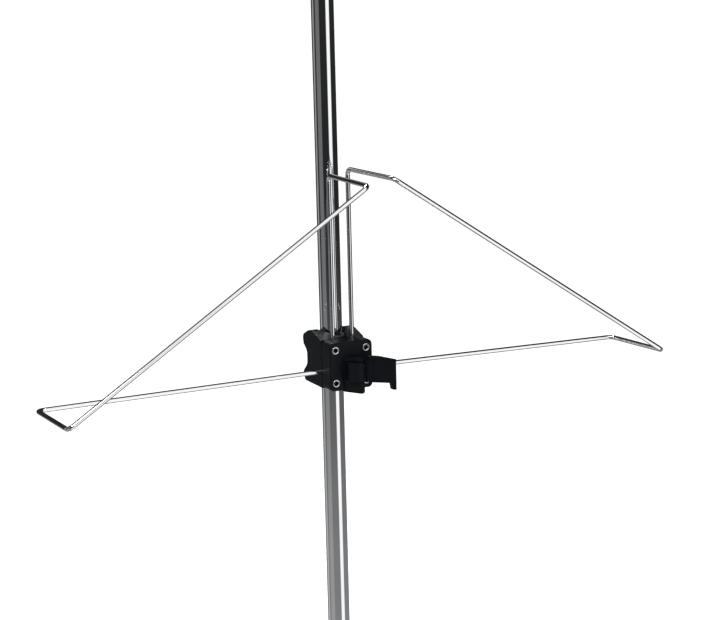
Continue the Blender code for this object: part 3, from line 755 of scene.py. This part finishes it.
def make_hub(finishes):
    bottom = low("base_hub").z
    top = high("base_hub").z
    hub_r = 27 * MM
    bore = LOWER_R + GAP
    floor = LOWER_BOTTOM - GAP
    profile = [(bore, top), (bore + 3 * MM, top), (bore + 4.5 * MM, top - 3 * MM),
               (hub_r - 4 * MM, top - 14 * MM), (hub_r, top - 20 * MM), (hub_r, bottom + 3 * MM),
               (hub_r - 3 * MM, bottom),
               (4.3 * MM, bottom), (4.3 * MM, floor), (bore, floor)]
    hub = turned("base_hub", eased([*profile, profile[0]], 1.5 * MM)[:-1], closed=True)
    nose = LEG_PIVOT.x / MM
    height = LEG_PIVOT.z / MM
    cheek = rounded_outline([(20, height - 22, 0), (nose - 2, height - 14, 8), (nose + 12, height - 4, 8),
                             (nose + 9, height + 17, 3), (nose - 8, height + 20, 6), (20, height + 18, 0)])
    gap = 8.3 * MM
    thick = 4 * MM
    for azimuth in LEG_TURNS:
        turn = Matrix.Rotation(math.radians(azimuth), 4, "Z")
        for side in (-1, 1):
            start, end = sorted((side * gap, side * (gap + thick)))
            ear = plate("cheek", cheek, start, end, FRONT, bevel=0.9 * MM)
            ear.data.transform(turn)
            unite(hub, ear)
        stop_low = LEG_PIVOT.z + 8.8 * MM
        stop = block("stop_web", (LEG_PIVOT.x + 2 * MM, -gap - 1 * MM, stop_low),
                     (LEG_PIVOT.x + 8 * MM, gap + 1 * MM, stop_low + 5 * MM), ease=0.8 * MM)
        stop.data.transform(turn)
        unite(hub, stop)
        hole = rod("pivot_hole", 3.3 * MM, (LEG_PIVOT.x, -20 * MM, LEG_PIVOT.z),
                   (LEG_PIVOT.x, 20 * MM, LEG_PIVOT.z))
        hole.data.transform(turn)
        cut(hub, hole)
    show(moulding(hub), "base_hub", "base", finishes["cast"])
    plug_r = width("tube_plug") / 2
    plug_top = high("tube_plug").z
    plug = [(0, plug_top), (plug_r - 1 * MM, plug_top), (plug_r, plug_top - 1 * MM), (plug_r, LOWER_BOTTOM),
            (4.3 * MM, LOWER_BOTTOM), (4.3 * MM, plug_top - 6 * MM), (0, plug_top - 6 * MM)]
    show(turned("tube_plug", eased(plug)), "tube_plug", "base", finishes["steel"])
    head_low = low("column_bolt").z
    bolt = rod("column_bolt", 6.5 * MM, (0, 0, head_low), (0, 0, bottom - GAP), sides=6, ease=0.4 * MM)
    unite(bolt, rod("bolt_shank", 4 * MM, (0, 0, head_low + 3 * MM), (0, 0, high("column_bolt").z),
                    ease=0.5 * MM))
    show(moulding(bolt), "column_bolt", "base", finishes["steel"])


def make_legs(finishes):
    foot_x = 318 * MM
    foot_z = 14 * MM
    angle = math.atan2(LEG_PIVOT.z - foot_z, foot_x - LEG_PIVOT.x)
    along = Vector((math.cos(angle), 0, -math.sin(angle)))
    length = (foot_x - LEG_PIVOT.x) / along.x
    start = LEG_PIVOT + along * 13 * MM
    end = LEG_PIVOT + along * (length + 8 * MM)
    leg_r = 8 * MM
    wall = 1.5 * MM

    tube = ring("leg_tube", leg_r, leg_r - wall, 0, (end - start).length)
    tube.data.transform(Matrix.Translation(start) @ along.to_track_quat("Z", "Y").to_matrix().to_4x4())

    across = Vector((0, 1, 0))
    knuckle = rod("leg_knuckle", leg_r, LEG_PIVOT - across * 8 * MM, LEG_PIVOT + across * 8 * MM, sides=64,
                  ease=0.8 * MM)
    unite(knuckle, rod("neck", leg_r - 0.4 * MM, LEG_PIVOT, start - along * GAP, sides=64, ease=0.4 * MM),
          rod("spigot", leg_r - wall - GAP, LEG_PIVOT, start + along * 18 * MM, sides=64, ease=0.4 * MM))
    cut(knuckle, rod("hole", 3.3 * MM, LEG_PIVOT - across * 20 * MM, LEG_PIVOT + across * 20 * MM))
    knuckle = moulding(knuckle)

    toe = foot_x / MM
    outline = rounded_outline([(toe - 24, 0, 3), (toe + 20, 0, 3), (toe + 19, 21, 10), (toe + 4, 25, 8),
                               (toe - 32, 33.5, 3), (toe - 36, 12, 6)])
    foot = plate("foot", outline, -11.5 * MM, 11.5 * MM, FRONT, bevel=3 * MM, segments=8)
    cut(foot, rod("foot_bore", leg_r + GAP, LEG_PIVOT + along * 200 * MM, end + along * GAP, sides=64))
    for x in range(-18, 16, 4):
        cut(foot, block("tread", ((toe + x) * MM, -20 * MM, -5 * MM),
                        ((toe + x + 1.4) * MM, 20 * MM, 0.9 * MM)))
    foot = moulding(foot)

    face = low("leg_pivot_1").y
    rivet = [(0, -face), (2.6 * MM, -face - 0.3 * MM), (5 * MM, -face - 1.8 * MM), (5 * MM, -face - 2.6 * MM),
             (3 * MM, -face - 2.6 * MM), (3 * MM, face + 2.6 * MM), (5 * MM, face + 2.6 * MM),
             (5 * MM, face + 1.8 * MM), (2.6 * MM, face + 0.3 * MM), (0, face)]
    pin = turned("leg_pivot", eased(rivet, 0.6 * MM), axis="Y", at=(LEG_PIVOT.x, 0, LEG_PIVOT.z),
                 steps=SMALL_ROUND)

    kit = ((tube, "leg_tube", "leg_{}", "chrome_tube", "tube"),
           (knuckle, "leg_knuckle", "leg_{}", "cast_hub", "cast"),
           (foot, "foot", "leg_{}", "rubber", "rubber"),
           (pin, "leg_pivot", "base", "zinc_steel", "steel"))
    for number, azimuth in enumerate(LEG_TURNS, 1):
        for model, name, body, slot, finish in kit:
            copy = add(name, model.data.copy())
            copy.rotation_euler.z = math.radians(azimuth)
            show(copy, f"{name}_{number}", body.format(number), finishes[finish])
    for model, *_ in kit:
        bpy.data.objects.remove(model, do_unlink=True)


# Clamp

def make_sleeve(finishes):
    bore = TUBE_R + GAP
    top = high("sleeve_liner").z
    under = CLAMP.z + BLOCK_LOW - GAP
    profile = [(bore, top), (SLEEVE_FLANGE_R, top), (SLEEVE_FLANGE_R, top - 1.8 * MM),
               (SLEEVE_R, top - 1.8 * MM), (SLEEVE_R, under), (SLEEVE_FLANGE_R, under),
               (SLEEVE_FLANGE_R, under - 3 * MM), (bore, under - 3 * MM)]
    sleeve = turned("sleeve_liner", eased([*profile, profile[0]], 0.5 * MM)[:-1], closed=True)
    show(sleeve, "sleeve_liner", "sleeve", finishes["nylon"])


def wire_path(side):
    """The centre line: up from the block, forward, down to the outer corner, back, and in to the block."""
    name = "wire_frame_left" if side < 0 else "wire_frame_right"
    top = (high(name).z - CLAMP.z - WIRE_R) / MM
    reach = side * (width("wire_frame_left") / MM + 9 - WIRE_R / MM)
    rear = PARTING_Y / MM
    front = (low(name).y + WIRE_R) / MM
    bottom = (low(name).z - CLAMP.z + WIRE_R) / MM
    sag = 3.3
    corners = [at_clamp(side * 11.6, rear, 3), at_clamp(side * 11.6, rear, top),
               at_clamp(side * 14.9, front, top), at_clamp(reach, front, bottom + sag),
               at_clamp(reach, rear, bottom), at_clamp(side * 9, rear, bottom + sag)]
    return rounded_path(corners, 7 * MM)


def wire_grooves():
    cutters = []
    for side in (-1, 1):
        points = wire_path(side)
        for inner, outer in ((points[0], points[1]), (points[-1], points[-2])):
            away = (outer - inner).normalized()
            cutters.append(rod("wire_groove", WIRE_R + 0.25 * MM, inner - away * GAP,
                               inner + away * 40 * MM, sides=48))
    return cutters


def screw_places():
    """The screws' axes, where they cross the plane through the column's centre."""
    centres = [middle(f"clamp_screw_{number}") for number in (1, 2, 3, 4)]
    return [Vector((centre.x, 0, centre.z)) for centre in centres]


def screw_holes(radius, start, end, sides=SMALL_ROUND):
    return [rod("screw_hole", radius, place + Vector((0, start, 0)), place + Vector((0, end, 0)), sides=sides)
            for place in screw_places()]


def pad_channel():
    place = middle("pressure_pad")
    return rod("pad_channel", 4.8 * MM, (place.x, -50 * MM, place.z), (place.x, 0, place.z), sides=48)


def make_body(finishes):
    bottom = BLOCK_LOW / MM
    parting = PARTING_Y / MM + 0.15
    outline = rounded_outline([(parting, bottom, 0.8), (17.4, bottom + 0.4, 5), (22.0, -17.0, 4),
                               (10.2, -6.5, 8), (10.2, 8.0, 7), (19.2, 15.0, 2.5), (21.2, 25.4, 6),
                               (0, 35.2, 26), (parting, 26.8, 0.8)])
    body = plate("clamp_body", outline, -HALF_WIDTH, HALF_WIDTH, SIDE, bevel=1.6 * MM, segments=5, at=CLAMP)
    seat_r = SLEEVE_FLANGE_R + 0.4 * MM
    cut(body, rod("column_bore", SLEEVE_R + 0.4 * MM, at_clamp(0, 0, -40), at_clamp(0, 0, 40), sides=ROUND),
        rod("flange_seat", seat_r, at_clamp(0, 0, 23.9), at_clamp(0, 0, 40), sides=ROUND),
        block("valley", at_clamp(-9, -35, 24.6), at_clamp(9, -8, 40)), pad_channel())
    cut(body, *wire_grooves())
    cut(body, *screw_holes(SCREW_R + GAP, -60 * MM, 40 * MM))
    cut(body, *screw_holes(NUT_R + GAP, low("clamp_nut_1").y - GAP, 40 * MM, sides=6))
    show(moulding(body), "clamp_body", "clamp", finishes["black"])


def make_cover(finishes):
    bottom = BLOCK_LOW / MM
    top = BLOCK_HIGH / MM
    half = HALF_WIDTH / MM
    outline = rounded_outline([(-half, bottom, 5.5), (half, bottom, 5.5), (half, top, 5.5),
                               (-half, top, 5.5)])
    cover = plate("front_cover", outline, COVER_Y, PARTING_Y - GAP / 2, FRONT, bevel=1.6 * MM, segments=5,
                  at=(0, 0, CLAMP.z))
    ear = rounded_outline([(-9.8, -46, 0), (-9.8, -52.5, 1.5), (2.8, -73, 2), (8.6, -67, 3), (9, -46, 0)])
    for start, end in ((EAR_LOW / MM, -15.5), (6.3, 10.5)):
        unite(cover, plate("ear", ear, start * MM, end * MM, PLAN, bevel=0.7 * MM, at=(0, 0, CLAMP.z)))
    unite(cover, block("ear_wall", at_clamp(-9.8, -54.6, -20), at_clamp(-7.8, -48, 8)))
    pin = (PIN - CLAMP) / MM
    cut(cover, block("cam_pocket", at_clamp(pin.x - 8.6, -54, -15.5), at_clamp(pin.x + 8.6, -48.7, 6.3)))
    cut(cover, rod("pin_hole", PIN_R + GAP, at_clamp(pin.x, pin.y, -40), at_clamp(pin.x, pin.y, 20)),
        pad_channel())
    cut(cover, *wire_grooves())
    cut(cover, *screw_holes(SCREW_R + GAP, -60 * MM, 0))
    cut(cover, *screw_holes(SCREW_HEAD_R + 0.5 * MM, -60 * MM, COVER_Y + 5 * MM, sides=56))
    show(moulding(cover), "front_cover", "clamp", finishes["black"])


def make_fasteners(finishes):
    front = low("clamp_screw_1").y
    tip = high("clamp_screw_1").y
    under = front + 5 * MM
    profile = [(0, tip), (SCREW_R - 0.5 * MM, tip), (SCREW_R, tip - 0.5 * MM), (SCREW_R, under),
               (SCREW_HEAD_R, under), (SCREW_HEAD_R, front), (0, front)]
    nut_low = low("clamp_nut_1").y
    nut_high = high("clamp_nut_1").y
    for number, place in enumerate(screw_places(), 1):
        screw = turned("clamp_screw", eased(profile, 0.5 * MM), axis="Y", steps=64)
        cut(screw, rod("hex_socket", 2.3 * MM, (0, front - 1 * MM, 0), (0, front + 2.6 * MM, 0), sides=6))
        screw = moulding(screw)
        screw.location = place
        show(screw, f"clamp_screw_{number}", "clamp", finishes["screw"])
        nut = rod("clamp_nut", NUT_R, (0, nut_low, 0), (0, nut_high, 0), sides=6, ease=0.3 * MM)
        cut(nut, rod("thread", SCREW_R + GAP, (0, 0, 0), (0, 40 * MM, 0), sides=48))
        nut = moulding(nut)
        nut.location = place
        show(nut, f"clamp_nut_{number}", "clamp", finishes["screw"])


def make_wires(finishes):
    for side, name in ((-1, "wire_frame_left"), (1, "wire_frame_right")):
        show(wire(name, wire_path(side), WIRE_R), name, "clamp", finishes["wire"])


def cam_outline(points=160):
    """The cam about the pin: it loses radius evenly as it turns away from the pad, then closes."""
    cam_r = 12.6 * MM
    drop = 1.5 * MM / (math.pi / 2)
    spiral = math.radians(115)
    back = math.radians(300)
    small = 10 * MM
    least = cam_r - drop * spiral
    outline = []
    for index in range(points):
        turn = 2 * math.pi * index / points
        if turn <= spiral:
            radius = cam_r - drop * turn
        elif turn <= back:
            radius = least + (small - least) * (turn - spiral) / (back - spiral)
        else:
            radius = small + (cam_r - small) * (turn - back) / (2 * math.pi - back)
        angle = math.pi / 2 + turn
        outline.append(Vector((PIN.x, PIN.y, 0)) + Vector((math.cos(angle), math.sin(angle), 0)) * radius)
    return outline


def make_lever(finishes):
    start = CLAMP.z - 15.2 * MM
    end = CLAMP.z + 6.0 * MM
    handle = plate("cam_lever", cam_outline(), start, end, PLAN, bevel=0.6 * MM)
    flare = [(16.5, -68.3, 4), (31.1, -80.1, 30), (37.5, -85.1, 1.2), (40.2, -81.7, 1.2), (33.6, -76.4, 30),
             (19.2, -64.4, 4)]
    arm = rounded_outline([(5, -64.5, 0), *flare, (12.5, -59.5, 3), (5, -58, 0)])
    grip = rounded_outline([(13.3, -67.3, 0.6), *flare, (15.2, -61.8, 1)])
    tall = plate("grip", grip, CLAMP.z - 26 * MM, CLAMP.z + 12 * MM, PLAN)
    face = rounded_outline([(0, -18, 0), (33.6, -18, 2.5), (34.4, -25.5, 0.8), (45, -25.5, 0), (45, 7.0, 0),
                            (24, 11.4, 12), (0, 11.4, 0)])
    boolean(tall, plate("grip_face", face, -100 * MM, -50 * MM, FRONT, at=(0, 0, CLAMP.z)), "INTERSECT")
    tall = add("grip", freeze(tall))
    unite(handle, plate("arm", arm, start, end, PLAN), tall)
    cut(handle, rod("lever_bore", PIN_R + GAP, PIN - Vector((0, 0, 40 * MM)), PIN + Vector((0, 0, 40 * MM))))
    show(moulding(handle), "cam_lever", "lever", finishes["black"])
    pin = rod("lever_pin", PIN_R, (PIN.x, PIN.y, low("lever_pin").z), (PIN.x, PIN.y, high("lever_pin").z),
              ease=0.5 * MM)
    show(pin, "lever_pin", "clamp", finishes["steel"])
    place = middle("pressure_pad")
    plunger = rod("pressure_pad", width("pressure_pad") / 2, (place.x, low("pressure_pad").y, place.z),
                  (place.x, -10 * MM, place.z), sides=64, ease=0.4 * MM)
    cut(plunger, rod("sleeve_hollow", SLEEVE_R + GAP, at_clamp(0, 0, -20), at_clamp(0, 0, 20), sides=ROUND))
    show(moulding(plunger), "pressure_pad", "pad", finishes["nylon"])


make_camera()
make_studio()
FINISHES = make_finishes()
make_column(FINISHES)
make_clutch(FINISHES)
make_hub(FINISHES)
make_legs(FINISHES)
make_sleeve(FINISHES)
make_body(FINISHES)
make_cover(FINISHES)
make_fasteners(FINISHES)
make_wires(FINISHES)
make_lever(FINISHES)
